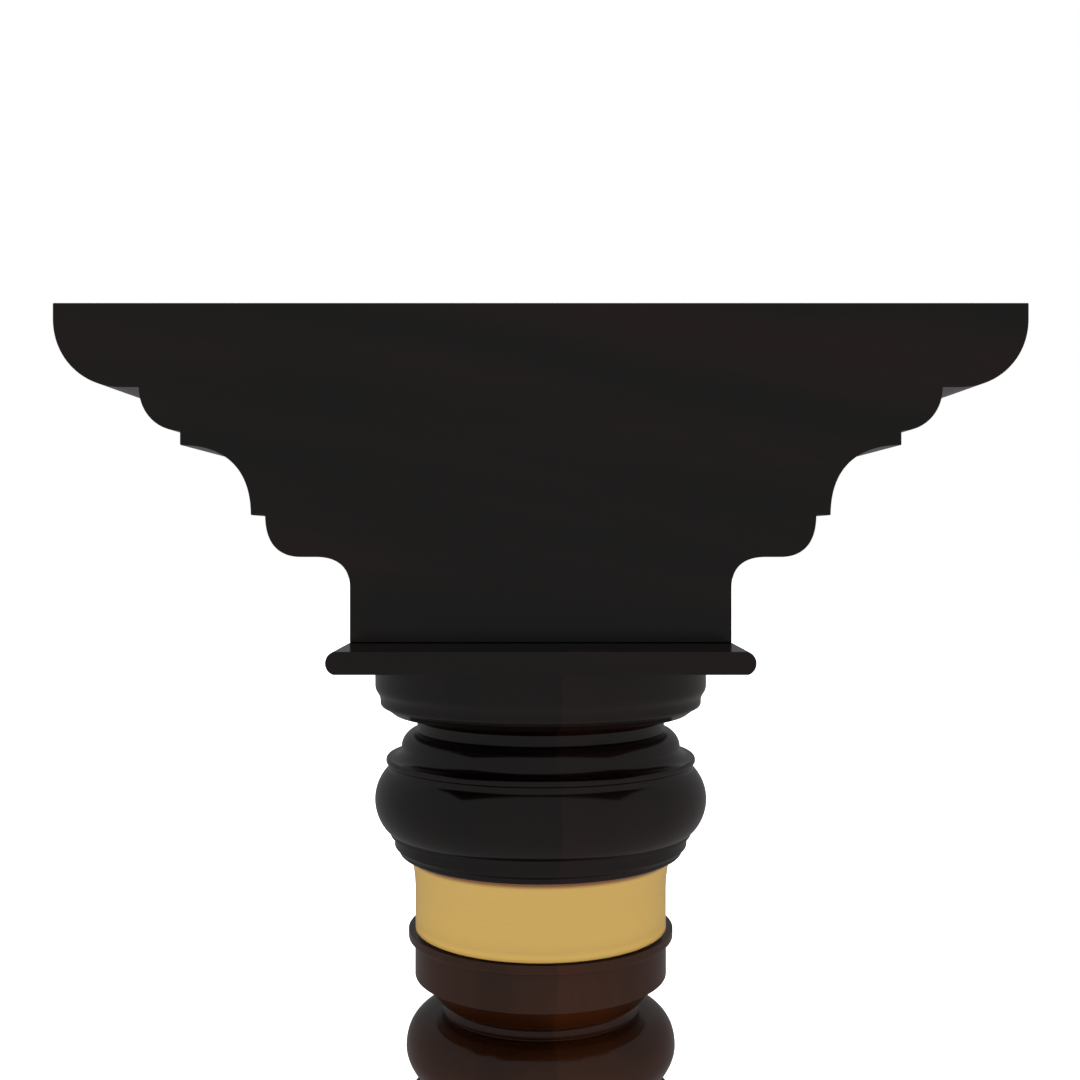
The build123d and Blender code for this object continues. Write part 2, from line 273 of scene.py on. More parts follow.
# %% [markdown]
# ## Turned parts
#
# A turning is its outline carried round the axis: (r, z) becomes (r cos a, r sin a, z). The Screw
# modifier does the same to an edge; working it out as one array lets every point keep its edge
# mark. The outline is a closed loop that also runs across the top, down the bore for the tie rod
# and back along the underside, so that each ring could be taken off the stack.

# %% Turn an outline
ROUND_STEPS = 256
ROD_CLEARANCE = 0.5
BORE = reach("tie_rod") + ROD_CLEARANCE


def turned(name, outline, low, bore, ease=0.45):
    """Carries the closed outline round the axis and lifts it to its level."""
    foot, head = outline[0][0], outline[-1][-1]
    loop = outline + [line(head, (bore, head[1])), line((bore, head[1]), (bore, foot[1])),
                      line((bore, foot[1]), foot)]
    points, marks, _ = eased_loop(loop, ease)
    points = np.r_[points, points[:1]]
    angle = np.linspace(0, 2 * np.pi, ROUND_STEPS + 1)
    radius, level = points[:, :1], points[:, 1:] + low
    grid = np.stack([radius * np.cos(angle), radius * np.sin(angle), level + 0 * angle], -1)
    grid[:, -1] = grid[:, 0]
    worn = np.repeat(np.r_[marks, marks[:1]][:, None], ROUND_STEPS + 1, 1)
    return skin(name, [grid], [worn])


# %% [markdown]
# ## The black rings
#
# Below the board come a broad disc with a hollow under it, a ring with a sharp upper edge that
# carries the rounded echinus, a fat cushion and a thin stepped ring. Each is one outline, which
# runs upward along the outside, from the underside to the top, one stretch to a line. Levels are
# counted from the piece's own underside, and the top level comes from the design.

# %% The necking disc
side = reach("necking_disc")
lower_side, soffit, soffit_edge = side - 3.4, side - 12.0, side - 6.6
neck_radius = side - 27.2
neck_foot = neck_radius + 0.8
height = top_of("necking_disc") - floor_of("necking_disc")
disc = settle(turned("disc", [
    flare((neck_radius, 3.4), (neck_foot, 0))[::-1],                        # foot of the necking
    line((neck_radius, 3.4), (neck_radius, 5.7)),                           # necking
    quarter((neck_radius, 5.7), (soffit, 11.3), "z"),                       # hollow
    line((soffit, 11.3), (soffit_edge, 15.3)),                              # sloping soffit
    line((soffit_edge, 15.3), (soffit_edge, 15.8)),                         # quirk
    line((soffit_edge, 15.8), (lower_side - 2.6, 15.8)),                    # underside
    quarter((lower_side - 2.6, 15.8), (lower_side, 18.4), "x", steps=8),    # rounded edge
    line((lower_side, 18.4), (lower_side, 19.6)),                           # lower step
    ogee((lower_side, 19.6), (side, 30.0)),                                 # ogee between the steps
    line((side, 30.0), (side, height)),                                     # upper step
], floor_of("necking_disc"), BORE), "ebonised_wood", "necking_disc")

# %% The echinus ring
side = reach("echinus_ring")
arris, echinus = side - 1.0, side - 9.9
cove_edge = echinus + 7.0
height = top_of("echinus_ring") - floor_of("echinus_ring")
echinus_piece = settle(turned("echinus", [
    quarter((side - 1.6, 0), (side, 1.6), "x", steps=6),                    # rounded lower edge
    line((side, 1.6), (side, 2.0)),                                         # face
    flare((side, 2.0), (arris, 4.0)),                                       # up to the sharp edge
    line((arris, 4.0), (cove_edge, 4.0)),                                   # top of the ring
    quarter((cove_edge, 4.0), (echinus, 9.5), "x"),                         # cove
    line((echinus, 9.5), (echinus, 10.2)),                                  # fillet
    quarter((echinus, 10.2), (neck_foot, height), "z", SLACK, 18),          # echinus
], floor_of("echinus_ring"), BORE, ease=0.3), "ebonised_wood", "echinus_ring")

# %% The cushion
belly = reach("cushion")
toe, shoulder = belly - 9.9, belly - 8.4
height = top_of("cushion") - floor_of("cushion")
cushion = settle(turned("cushion_ring", [
    line((toe, 0), (toe, 2.7)),                                             # lower fillet
    bezier((toe, 2.7), (toe + 2.3, 2.7), (belly, 11.1), (belly, 22.7), 30),  # under the belly
    flare((belly, 22.7), (shoulder, 42.3), 28),                             # over the belly
    line((shoulder, 42.3), (shoulder, height)),                             # upper fillet
], floor_of("cushion"), BORE), "ebonised_wood", "cushion")

# %% The stepped ring under it
side = reach("lower_ring")
step = side - 2.9
height = top_of("lower_ring") - floor_of("lower_ring")
stepped = settle(turned("stepped_ring", [
    quarter((step - 2.0, 0), (step, 2.0), "x", steps=6),                    # rounded lower edge
    line((step, 2.0), (step, 2.5)),                                         # step
    ogee((step, 2.5), (side, 6.0)),                                         # ogee
    line((side, 6.0), (side, height)),                                      # side
], floor_of("lower_ring"), BORE, ease=0.35), "ebonised_wood", "lower_ring")

# %% [markdown]
# ## The brass band and the brown turnings
#
# The band is a spun sleeve, 2 mm thick, that widens a little at the top. It slides over a tenon
# on the brown collar, whose lip it sits on. Under the drum the collar runs in to a thin throat,
# and the bulb and the foot swell out again.

# %% The band
WALL = 2.0
band_radius = reach("drum_collar") - 4.4
height = top_of("brass_band") - floor_of("brass_band")
straight = height - 26.3
band = settle(turned("band", [
    line((band_radius, 0), (band_radius, straight / 2), (band_radius, straight)),
    quarter((band_radius, straight), (reach("brass_band"), height), "z", steps=24),
], floor_of("brass_band"), band_radius - WALL, ease=0.25), "brass", "brass_band")

# %% The collar
lip = reach("drum_collar")
drum, throat, tenon = lip - 4.2, lip - 24.5, band_radius - WALL - 0.1
taper_foot, taper_top = drum - 14.1, drum - 4.1
height = top_of("drum_collar") - floor_of("drum_collar")
collar = settle(turned("collar", [
    quarter((throat + 2.6, 0), (throat + 2.0, 0.8), "z", steps=8),          # rounded foot
    flare((throat, 5.0), (throat + 2.0, 0.8))[::-1],                        # flare over the foot
    bezier((throat, 5.0), (throat, 6.6), (taper_foot - 2.0, 7.1), (taper_foot, 9.5)),  # throat
    line((taper_foot, 9.5), (taper_top, 21.8)),                             # taper
    line((taper_top, 21.8), (drum, 22.9)),                                  # underside of the drum
    line((drum, 22.9), (drum, 46.3)),                                       # drum
    quarter((drum, 46.3), (lip, 48.2), "x", steps=10),                      # underside of the lip
    line((lip, 48.2), (lip, 53.2)),                                         # lip
    line((lip, 53.2), (tenon, 53.2)),                                       # seat of the band
    line((tenon, 53.2), (tenon, height)),                                   # tenon
], floor_of("drum_collar"), BORE), "brown_wood", "drum_collar")

# %% The bulb
POCKET_CLEARANCE = 2.0
belly, neck = reach("bulb"), reach("foot_collar") - 20.3
crown, belly_level = 61.0, 23.3
height = top_of("bulb") - floor_of("bulb")
pocket, pocket_depth = reach("lower_washer") + POCKET_CLEARANCE, 20.0
bulb = settle(turned("bulb_turning", [
    quarter((neck, 0), (belly, belly_level), "x", LEAN, 30),                # under the belly
    quarter((belly, belly_level), (crown, height), "z", FULL, 30),          # over the belly
    line((crown, height), (BORE, height)),                                  # flat crown
    line((BORE, height), (BORE, pocket_depth)),                             # bore for the rod
    line((BORE, pocket_depth), (pocket, pocket_depth)),                     # roof of the nut's pocket
], floor_of("bulb"), pocket), "brown_wood", "bulb")

# %% The foot
SOCKET = 30.0
side = reach("foot_collar")
shoulder = side - 10.3
height = top_of("foot_collar") - floor_of("foot_collar")
foot = settle(turned("foot", [
    quarter((side - 3, 0), (side, 3), "x", steps=8),                        # rounded lower edge
    line((side, 3), (side, 16.8)),                                          # side
    quarter((side, 16.8), (side - 3, 19.8), "z", steps=8),                  # rounded upper edge
    line((side - 3, 19.8), (shoulder, 19.8)),                               # top
    quarter((shoulder, 19.8), (neck, 25.8), "x"),                           # cove
    line((neck, 25.8), (neck, height)),                                     # neck
], 0.0, SOCKET), "brown_wood", "foot_collar")


# %% [markdown]
# ## A way through for the rod
#
# The bracket and the square board under it are planks, and the tie rod runs up through both. A
# Boolean modifier would cut the bore, but it leaves long thin faces round the hole that shade
# badly. Here the surface is laid out round the hole from the start: one grid runs from the
# rectangular rim of the face to the round hole, and a second one lines the bore.

# %% From a rectangular rim to a round bore
def rim_of(grid, rows, columns):
    """Points round a rectangular opening, from its (+x, -y) corner and back to it."""
    sides = [grid[rows, columns[0]], grid[rows[-1], columns], grid[rows[::-1], columns[-1]],
             grid[rows[0], columns[::-1]]]
    return np.concatenate([side[:-1] for side in sides] + [sides[0][:1]])


def rim_to_hole(rim, radius, steps=5):
    """Blends the rim into a circle about the axis; each point keeps its own direction."""
    angle = np.arctan2(rim[:, 1], rim[:, 0])
    circle = np.stack([radius * np.cos(angle), radius * np.sin(angle), rim[:, 2]], 1)
    share = np.linspace(0, 1, steps)[:, None, None] ** 0.7
    return rim * (1 - share) + circle * share, np.unwrap(angle)


def bore_lining(top_angle, low_angle, outline, low):
    """Turned lining of a bore; its angles drift evenly from the top rim's to the low rim's."""
    outline = np.array(outline, float)
    share = np.linspace(0, 1, len(outline))[:, None]
    angle = top_angle * (1 - share) + low_angle * share
    radius, level = outline[:, :1], outline[:, 1:] + low
    return np.stack([radius * np.cos(angle), radius * np.sin(angle), level + 0 * angle], -1)


lining = bore_lining(np.zeros(5), np.zeros(5), [(9, 30), (9, 0)], 0)
print("a lining's rows, columns and coordinates:", lining.shape)


# %% [markdown]
# ## Sawn boards
#
# A flat curve with some extrusion and bevel would give a plank, but not one with a hole in its
# edge. So the outline is carried through the thickness as an array, and near the two faces it is
# drawn in along a quarter circle, which eases the long edges. The faces are then closed by rings
# that shrink to one point. The top and the underside are left out of that first grid, and filled
# by the grids round the bore.

# %% Carry an outline through a thickness
FACE_RINGS = 6
SIDE_STEPS = 10
EDGE_STEPS = 5


def plank(name, stretches, top_run, half, low, ease, heart, bore):
    """Board: its outline at each depth, drawn in by ease * (1 - sin) near the two faces.

    The first stretch is the underside and stretches[top_run] the top. heart is the point that
    the faces' rings shrink to, and bore the outline of the hole, from the top down."""
    loop, marks, spans = eased_loop(stretches, 1.3 * ease)
    along = np.roll(loop, -1, 0) - np.roll(loop, 1, 0)
    outward = np.stack([along[:, 1], -along[:, 0]], 1) / np.linalg.norm(along, axis=1)[:, None]
    turn = np.linspace(0, np.pi / 2, EDGE_STEPS)
    middle = np.zeros(SIDE_STEPS - 1)
    inset = np.r_[ease * (1 - np.sin(turn)), middle, ease * (1 - np.sin(turn[::-1]))]
    front = -half + ease * (1 - np.cos(turn))
    depth = np.r_[front, np.linspace(front[-1], -front[-1], SIDE_STEPS + 1)[1:-1], -front[::-1]]
    place = loop[:, None] - outward[:, None] * inset[:, None]
    grid = np.stack([place[..., 0], np.tile(depth, (len(loop), 1)), place[..., 1] + low], -1)
    worn = np.maximum(marks[:, None], np.r_[np.sin(2 * turn), middle, np.sin(2 * turn)])
    grid, worn = np.concatenate([grid, grid[:1]]), np.concatenate([worn, worn[:1]])

    first, last = EDGE_STEPS - 1, EDGE_STEPS - 1 + SIDE_STEPS
    under, over = spans[0], spans[top_run]
    pieces = [(slice(None), slice(0, first + 1)), (slice(None), slice(last, None)),
              (slice(under.stop - 1, over.start + 1), slice(first, last + 1)),
              (slice(over.stop - 1, None), slice(first, last + 1))]
    grids, wear = [grid[piece] for piece in pieces], [worn[piece] for piece in pieces]

    shrink = np.linspace(0, 1, FACE_RINGS)[:, None, None]
    for face in (grid[:, 0], grid[:, -1]):
        centre = np.array([heart[0], face[0, 1], heart[1] + low])
        grids.append(face * (1 - shrink) + centre * shrink)

    columns = np.arange(first, last + 1)
    top_rim = rim_of(grid, np.arange(over.start, over.stop), columns)
    low_rim = rim_of(grid, np.arange(under.start, under.stop)[::-1], columns)
    top_face, top_angle = rim_to_hole(top_rim, bore[0][0])
    low_face, low_angle = rim_to_hole(low_rim, bore[-1][0])
    grids += [top_face, low_face, bore_lining(top_angle, low_angle, bore, low)]
    wear += [np.zeros(g.shape[:2]) for g in grids[len(wear):]]
    return skin(name, grids, wear)


print("a plank has", SIDE_STEPS, "steps across and", EDGE_STEPS, "rings round each eased edge")


# %% [markdown]
# The grid round the bore is even only if the rim's points are seen at even angles from the axis, so
# the level runs along the top and the underside are spaced in that way. The left half of each
# outline is the right half mirrored; doing that to the points, not with the Mirror modifier, keeps
# the outline one closed loop.

# %% Level runs and mirror images
def run(half_length, half_depth, level, steps=53):
    """Level run from -x to +x; its points are evenly spread in angle as seen from the axis."""
    reach_angle = np.arctan2(half_length, half_depth)
    across = half_depth * np.tan(np.linspace(-reach_angle, reach_angle, steps))
    return np.stack([across, np.full(steps, level)], 1)


def mirrored(stretches):
    """The same outline on the other side, run through the other way."""
    return [stretch[::-1] * (-1, 1) for stretch in stretches[::-1]]


print("a run's last three points:", run(100, 50, 0)[-3:, 0].round(1))


# %% [markdown]
# ## The bracket
#
# One thick plank, sawn to the outline and cleaned up with gouges and scrapers: on each arm a
# small cove over the neck, a lobe, a deep cove, another lobe, a ledge and the long rounded end.
# Each step below is written as how far it goes out and up from where the last one stopped, so one
# moulding can be changed without counting all the others again.

# %% Draw the bracket's right-hand side
half_bracket = reach("bracket_block")
half_depth = reach("bracket_block", axis=1)
bracket_low = floor_of("bracket_block")
bracket_height = top_of("bracket_block") - bracket_low
neck_half = half_bracket - 182.6
steps_out = [
    ("line", 0, 34.0),              # side of the neck
    ("z", 20.9, 18.7, FULL),        # small cove
    ("line", 9.2, 0),
    ("x", 22.0, 25.7, FULL),        # lower lobe
    ("line", 8.8, 0),
    ("z", 43.5, 43.1, FULL),        # deep cove
    ("line", 0, 8.8),
    ("x", 25.4, 26.8, ROUND),       # upper lobe
    ("line", 10.8, 0),              # ledge
    ("x", 42.0, 42.0, ROUND),       # rounded end
    ("line", 0, 9.8),
]
corner, right = np.array([neck_half, 0.0]), []
for kind, out, up, *fullness in steps_out:
    following = corner + (out, up)
    if kind == "line":
        right.append(line(corner, following))
    else:
        right.append(quarter(corner, following, kind, fullness[0], 30))
    corner = following
print("the outline ends at", corner.round(1), "for a bracket", round(bracket_height, 1), "high")

# %% Saw the bracket
PLUG_GAP = 0.05
POCKET = reach("upper_washer") + POCKET_CLEARANCE
pocket_wall = POCKET + PLUG_GAP
seat = floor_of("upper_washer") - bracket_low
heart = (0, bracket_height - 9)
bracket_bore = [(pocket_wall + 0.3, bracket_height), (pocket_wall, bracket_height - 0.3),
                (pocket_wall, seat), (BORE, seat), (BORE, 0)]
outline = [run(neck_half, half_depth, 0), *right,
           run(half_bracket, half_depth, bracket_height)[::-1], *mirrored(right)]
bracket = settle(plank("bracket", outline, len(right) + 1, half_depth, bracket_low, 0.6, heart,
                       bracket_bore), "ebonised_wood", "bracket_block")

# %% Saw the square board
board_low, board_depth = floor_of("abacus_plate"), reach("abacus_plate", axis=1)
thickness = top_of("abacus_plate") - board_low
bulge = arc_through((neck_half, 0), (reach("abacus_plate"), thickness / 2),
                    (neck_half, thickness), 24)
outline = [run(neck_half, board_depth, 0), bulge,
           run(neck_half, board_depth, thickness)[::-1], *mirrored([bulge])]
board = settle(plank("square_board", outline, 2, board_depth, board_low, 0.5, (0, thickness / 2),
                     [(BORE, thickness), (BORE, 0)]), "ebonised_wood", "abacus_plate")

# %% [markdown]
# A round plug hides the upper nut. Its grain can't run with the bracket's, so it shows as a disc
# with a fine line round it, even under the black finish.

# %% Turn the plug
depth = top_of("top_plug") - floor_of("top_plug")
plug = settle(turned("plug", [
    line((0, 0), (POCKET, 0)),
    line((POCKET, 0), (POCKET, depth)),
    line((POCKET, depth), (0, depth)),
], floor_of("top_plug"), 0.0, ease=0.35), "ebonised_wood", "top_plug")

# %% [markdown]
# ## Writing a finish as a recipe
#
# A material is a small graph of nodes. It can be drawn in the Shader Editor, but a few helpers
# keep it as readable as a recipe: one adds any node and plugs its inputs, and the others do
# arithmetic, blend colours and make noise. Patterns read the Object coordinates, which are the same
# metres as the mesh, so grain has its real size and carries on unbroken from one face to the next,
# as it does in solid wood.

# %% Nodes, arithmetic and colours
WHITE = (1, 1, 1, 1)


def add(tree, kind, inputs=(), **settings):
    """Adds a node; each input is a value or another node's output."""
    made = tree.nodes.new(kind)
    for name, value in settings.items():
        setattr(made, name, value)
    for socket, value in dict(inputs).items():
        if isinstance(value, bpy.types.NodeSocket):
            tree.links.new(value, made.inputs[socket])
        else:
            made.inputs[socket].default_value = value
    return made


def calc(tree, operation, a, b=0.0, c=0.0):
    """Arithmetic on up to three numbers, such as MULTIPLY, or MULTIPLY_ADD for a * b + c."""
    return add(tree, "ShaderNodeMath", {0: a, 1: b, 2: c}, operation=operation).outputs[0]


def blend(tree, share, a, b, how="MIX"):
    """Blends two colours by a share from 0 to 1."""
    mixed = add(tree, "ShaderNodeMix", {0: share, 6: a, 7: b}, data_type="RGBA", blend_type=how)
    return mixed.outputs[2]


def grey(tree, value):
    """The same number as red, green and blue."""
    return add(tree, "ShaderNodeCombineColor", {0: value, 1: value, 2: value}).outputs[0]


def times(tree, colour, factor):
    """A colour multiplied by another colour."""
    return blend(tree, 1.0, colour, factor, "MULTIPLY")


print("colour helpers ready")


# %% [markdown]
# Wood and brushed metal are both streaky, and one trick draws them both: a noise that changes fast
# across the streak and slowly along it. The Wave texture draws streaks too, but evenly spaced ones,
# which real grain never has.

# %% Patterns
def noise(tree, place, scale, detail=3.0, roughness=0.5, distortion=0.0):
    """Soft random pattern; scale is in patches per metre."""
    made = add(tree, "ShaderNodeTexNoise", {"Vector": place, "Scale": scale, "Detail": detail,
                                            "Roughness": roughness, "Distortion": distortion})
    return made.outputs["Fac"]


def steer(tree, place, turn=(0, 0, 0), stretch=(1, 1, 1)):
    """Turns and stretches a pattern about the middle of the piece."""
    made = add(tree, "ShaderNodeMapping", {"Vector": place, "Rotation": turn, "Scale": stretch},
               vector_type="POINT")
    return made.outputs[0]


def fibres(tree, place, stretch, detail, roughness):
    """Noise with its own count of patches per metre along X, Y and Z, so that it runs in streaks."""
    return noise(tree, steer(tree, place, stretch=stretch), 1.0, detail, roughness)


def between(tree, value, low, high, start=0.0, end=1.0):
    """Rescales a number from low..high to start..end, with soft ends."""
    made = add(tree, "ShaderNodeMapRange", {0: value, 1: low, 2: high, 3: start, 4: end},
               interpolation_type="SMOOTHSTEP")
    return made.outputs[0]


def new_finish(name):
    """Empty material with a glossy surface node; returns the material, tree, surface and place."""
    material = bpy.data.materials.new(name)
    material.use_nodes = True
    tree = material.node_tree
    tree.nodes.clear()
    surface = add(tree, "ShaderNodeBsdfPrincipled")
    output = add(tree, "ShaderNodeOutputMaterial")
    tree.links.new(surface.outputs[0], output.inputs[0])
    place = add(tree, "ShaderNodeTexCoord").outputs["Object"]
    return material, tree, surface, place


print("pattern helpers ready")


# %% [markdown]
# ## Polished wood
#
# Under the polish both woods are built the same way: broad bands where the growth rings are cut,
# fine fibres along the grain, and short dark pores. What differs is the colour, and how the piece
# was sawn. Each round part is turned from two half blanks glued together, so its tone changes in
# a straight line from top to bottom, a little to the right of the front. The glue line is the
# plane through the axis at that angle, and which half a point is in is the sign of its distance
# from the plane.

# %% Recipe for polished wood
SEAM_ANGLE = np.radians(6.7)
GLUE_LINE = 0.0003      # metres to each side of the seam


def halves(tree, place, tone, other):
    """Tone on one side of the glued seam and the other tone past it, with a fine darker line."""
    across, back = add(tree, "ShaderNodeSeparateXYZ", {0: place}).outputs[:2]
    distance = calc(tree, "MULTIPLY_ADD", back, float(np.sin(SEAM_ANGLE)),
                    calc(tree, "MULTIPLY", across, float(np.cos(SEAM_ANGLE))))
    both = blend(tree, calc(tree, "GREATER_THAN", distance, 0.0), tone, other)
    glue = between(tree, calc(tree, "ABSOLUTE", distance), 0.0, GLUE_LINE, 0.7, 1.0)
    return times(tree, both, grey(tree, glue))


def polished_wood(name, tones, second_tones, turn, gloss, grain=1.0, glued=True):
    """Wood with bands, fibres and pores along local X after the turn; tones are (dark, light)."""
    material, tree, surface, place = new_finish(name)
    sawn = steer(tree, place, turn)
    drift = calc(tree, "MULTIPLY", fibres(tree, sawn, (3, 9, 9), 2.0, 0.5), 0.05)
    shift = add(tree, "ShaderNodeCombineXYZ", {1: drift, 2: drift}).outputs[0]
    flowed = add(tree, "ShaderNodeVectorMath", {0: sawn, 1: shift}, operation="ADD").outputs[0]
    bands = between(tree, fibres(tree, flowed, (1.6, 14, 22), 3.0, 0.45), 0.35, 0.65)
    fibre = fibres(tree, flowed, (18, 900, 900), 4.0, 0.62)
    pores = between(tree, fibres(tree, flowed, (160, 1500, 1500), 2.0, 0.5), 0.60, 0.72)

    tone = blend(tree, bands, (*tones[0], 1), (*tones[1], 1))
    if glued:
        other = blend(tree, bands, (*second_tones[0], 1), (*second_tones[1], 1))
        tone = halves(tree, place, tone, other)
    streak = between(tree, fibre, 0.3, 0.7, 1 - 0.35 * grain, 1 + 0.35 * grain)
    streak = calc(tree, "MULTIPLY", streak, between(tree, pores, 0.0, 1.0, 1.0, 1 - 0.6 * grain))
    tone = times(tree, tone, grey(tree, streak))

    worn = add(tree, "ShaderNodeAttribute", attribute_name="edge").outputs["Fac"]
    patchy = between(tree, noise(tree, place, 45.0, 3.0), 0.4, 0.7)
    rubbed = calc(tree, "MULTIPLY", calc(tree, "MULTIPLY", worn, patchy), 0.35)
    warm = tuple(2.2 * c + 0.006 for c in tones[1])
    tree.links.new(blend(tree, rubbed, tone, (*warm, 1)), surface.inputs["Base Color"])

    handled = noise(tree, place, 14.0, 3.0, 0.6)
    rough = calc(tree, "ADD", between(tree, handled, 0.3, 0.7, gloss, gloss + 0.05),
                 between(tree, fibre, 0.3, 0.7, 0.0, 0.03))
    rough = calc(tree, "MULTIPLY_ADD", pores, 0.08 * grain, rough)
    tree.links.new(rough, surface.inputs["Roughness"])

    scraped = noise(tree, place, 26.0, 1.0, 0.3)
    height = calc(tree, "MULTIPLY_ADD", fibre, 0.010, calc(tree, "MULTIPLY", pores, -0.02 * grain))
    height = calc(tree, "MULTIPLY_ADD", scraped, 0.10, height)
    bump = add(tree, "ShaderNodeBump", {"Strength": 0.35, "Distance": 0.001, "Height": height})
    tree.links.new(bump.outputs[0], surface.inputs["Normal"])
    return material


print("wood recipe ready; the seam is", round(float(np.degrees(SEAM_ANGLE)), 1), "degrees off")


# %% [markdown]
# The black is a stain that went deep, so the wood's own colour is only a breath of brown in it, a
# little more in one half of each turning. The plank's grain runs along the arms, and a turning's
# runs up it.

# %% Mix the woods
UPRIGHT = (0, np.pi / 2, 0)
ALONG_ARMS = (0, np.radians(-11), 0)
ACROSS_ARMS = (0, 0, np.pi / 2)
BLACK = ((0.0013, 0.0009, 0.0005), (0.0045, 0.0012, 0.0006))
BLACK_TURNED = ((0.0012, 0.0005, 0.0003), (0.0022, 0.0009, 0.0005))
BLACK_TURNED_RIGHT = ((0.0037, 0.0014, 0.0009), (0.0054, 0.0020, 0.0013))
BROWN = ((0.0132, 0.0034, 0.0006), (0.0205, 0.0053, 0.0012))
BROWN_RIGHT = ((0.0190, 0.0048, 0.0009), (0.0260, 0.0067, 0.0016))
BEECH = ((0.46, 0.27, 0.14), (0.60, 0.38, 0.21))

black_sawn = polished_wood("ebonised_plank", BLACK, BLACK, ALONG_ARMS, 0.13, 0.5, glued=False)
black_turned = polished_wood("ebonised_turning", BLACK_TURNED, BLACK_TURNED_RIGHT, UPRIGHT, 0.11, 0.4)
black_plug = polished_wood("ebonised_plug", BLACK, BLACK, ACROSS_ARMS, 0.14, glued=False)
brown_turned = polished_wood("brown_turning", BROWN, BROWN_RIGHT, UPRIGHT, 0.13, 0.3)
beech = polished_wood("beech", BEECH, BEECH, UPRIGHT, 0.55, glued=False)
print("woods:", [m.name for m in (black_sawn, black_turned, black_plug, brown_turned, beech)])


# %% [markdown]
# ## Spun brass
#
# The band was spun and then rubbed with fine abrasive while it turned, so its scratches run round
# it as hair-fine rings. Brass under lacquer also has soft clouds where it has been handled, and
# its edges are polished brighter. Rings round the axis are noise that changes fast with height
# and hardly at all round the band.
#
# Three things follow the height, so they are tints laid over the finished tone. The upper part is
# a touch darker and cooler than the rest. Close under the ring above, painted shade turns the brass
# brown. And the foot is lifted, to make up for the shade the dark lip throws on it, so that the band
# keeps its tone down to the lip.

# %% Recipe for brass
def brushed_metal(name, colour, cloud, metallic, roughness, rings=1.0):
    """Metal with fine turning rings, soft clouds and brighter edges."""
    material, tree, surface, place = new_finish(name)
    ring = fibres(tree, place, (12, 12, 5200), 3.0, 0.7)
    patches = between(tree, noise(tree, place, 32.0, 4.0, 0.6, 0.6), 0.35, 0.75)
    tone = blend(tree, calc(tree, "MULTIPLY", patches, 0.4), (*colour, 1), (*cloud, 1))
    line_tone = between(tree, ring, 0.3, 0.7, 1 - 0.03 * rings, 1 + 0.03 * rings)
    tone = times(tree, tone, grey(tree, line_tone))
    worn = add(tree, "ShaderNodeAttribute", attribute_name="edge").outputs["Fac"]
    bright = tuple(min(1.0, 1.12 * c + 0.03) for c in colour)
    tone = blend(tree, calc(tree, "MULTIPLY", worn, 0.6), tone, (*bright, 1))
    tree.links.new(tone, surface.inputs["Base Color"])
    surface.inputs["Metallic"].default_value = metallic
    rough = calc(tree, "ADD", between(tree, ring, 0.2, 0.8, roughness - 0.05, roughness + 0.06),
                 calc(tree, "MULTIPLY", patches, 0.05))
    tree.links.new(rough, surface.inputs["Roughness"])
    bump = add(tree, "ShaderNodeBump", {"Strength": 0.12 * rings, "Distance": 0.0002, "Height": ring})
    tree.links.new(bump.outputs[0], surface.inputs["Normal"])
    return material


def tint(material, colour, start, full):
    """Multiplies the tone by a colour that comes in softly from one level to another, in mm."""
    tree = material.node_tree
    surface = tree.nodes["Principled BSDF"]
    tone = surface.inputs["Base Color"].links[0].from_socket
    place = add(tree, "ShaderNodeTexCoord").outputs["Object"]
    up = add(tree, "ShaderNodeSeparateXYZ", {0: place}).outputs[2]
    share = between(tree, up, start * MM, full * MM)
    tinted = blend(tree, share, WHITE, (*colour, 1))
    tree.links.new(times(tree, tone, tinted), surface.inputs["Base Color"])


# %% Mix the metals
BRASS, BRASS_CLOUD = (0.509, 0.3245, 0.081), (0.483, 0.306, 0.076)
STEEL, STEEL_CLOUD = (0.42, 0.42, 0.43), (0.30, 0.29, 0.28)
band_low, band_top = floor_of("brass_band"), top_of("brass_band")
brass = brushed_metal("satin_brass", BRASS, BRASS_CLOUD, 0.2, 0.34)
tint(brass, (0.96, 0.96, 0.99), band_top - 42, band_top - 10)
# painted shade: the brass turns brown close under the ring above
tint(brass, (0.30, 0.20, 0.32), band_top - 5.6, band_top - 2.1)
tint(brass, (1.75, 1.75, 1.68), band_low + 6.5, band_low - 1.0)
steel = brushed_metal("plain_steel", STEEL, STEEL_CLOUD, 1.0, 0.34, 0.6)
print("metals:", brass.name, "and", steel.name)


# %% [markdown]
# Each new piece takes one finish, and so does each hidden part of the design: steel for the rod,
# its nuts and washers and the screws, beech for the dowels. The band isn't mirrored in the polish
# round it, because gold lines in the black rings would hide their shape.

# %% Give every part its finish
finishes = {bracket: black_sawn, board: black_sawn, plug: black_plug, disc: black_turned,
            echinus_piece: black_turned, cushion: black_turned, stepped: black_turned, band: brass,
            collar: brown_turned, bulb: brown_turned, foot: brown_turned}
for part in ("abacus_screws", "tie_rod", "upper_nut", "upper_washer", "lower_nut", "lower_washer"):
    finishes[frame["nodes"][part]] = steel
for part in ("plate_dowels", "echinus_dowels", "collar_dowels", "foot_dowels"):
    finishes[frame["nodes"][part]] = beech
for piece, finish in finishes.items():
    piece.data.materials.clear()
    piece.data.materials.append(finish)
band.visible_glossy = False
print(len(finishes), "parts have a finish")


# %% [markdown]
# ## The studio
#
# The capital stands on a plain white floor in a white tent. Polished black shows nothing but what
# it reflects, so the reflections matter more than the light: all round it the gloss sees an even
# mid grey, a little darker behind. Seen square on, a polished face returns a twenty-fifth of it and
# reads as a clean black; seen edge on it returns nearly all of it, which draws a soft grey rim down
# each side. Lamps and cards could do this too, but each would show in the polish as a shape of its
# own.

